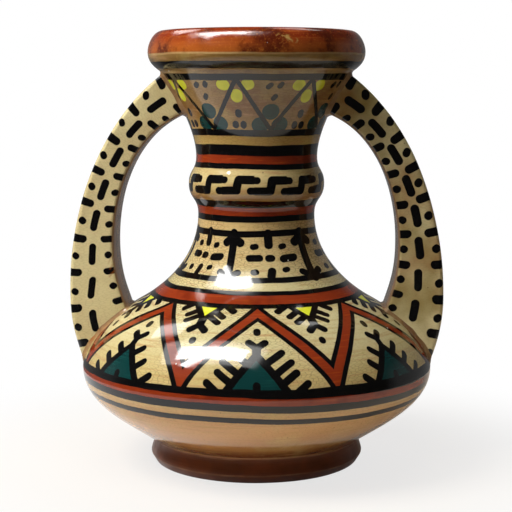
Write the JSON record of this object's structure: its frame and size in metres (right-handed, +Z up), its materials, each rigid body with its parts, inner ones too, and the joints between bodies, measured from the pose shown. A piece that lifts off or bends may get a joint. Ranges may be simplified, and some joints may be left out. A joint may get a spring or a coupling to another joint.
{
  "type": "handled vase",
  "caption": "Glazed earthenware vase with a squat belly, collared neck, flared mouth with a rolled rim, foot ring and a pair of strap handles, painted with banded geometric ornament.",
  "frame": {"origin": "centre of the foot ring's underside, on the table", "axes": "+Z up the vase's axis, X through the two handles, -Y is the front"},
  "size_m": [0.2068, 0.195, 0.2388],
  "materials": {
    "painted_glaze": "cream slip painted in black, red, green and yellow under a glossy crazed glaze",
    "handle_glaze": "cream slip with black dashes under a glossy glaze",
    "rim_glaze": "iron-red glaze, glossy",
    "foot_glaze": "dark red-brown glaze, satin",
    "luting_glaze": "bare clay fillet under clear glaze"
  },
  "bodies": {
    "root": {"foot_ring": "foot_glaze", "belly_bowl": "painted_glaze", "shoulder": "painted_glaze", "neck": "painted_glaze", "collar": "painted_glaze", "mouth": "painted_glaze", "rolled_rim": "rim_glaze", "left_handle": "handle_glaze", "right_handle": "handle_glaze", "left_upper_luting": "luting_glaze", "left_lower_luting": "luting_glaze", "right_upper_luting": "luting_glaze", "right_lower_luting": "luting_glaze"}
  },
  "joints": []
}
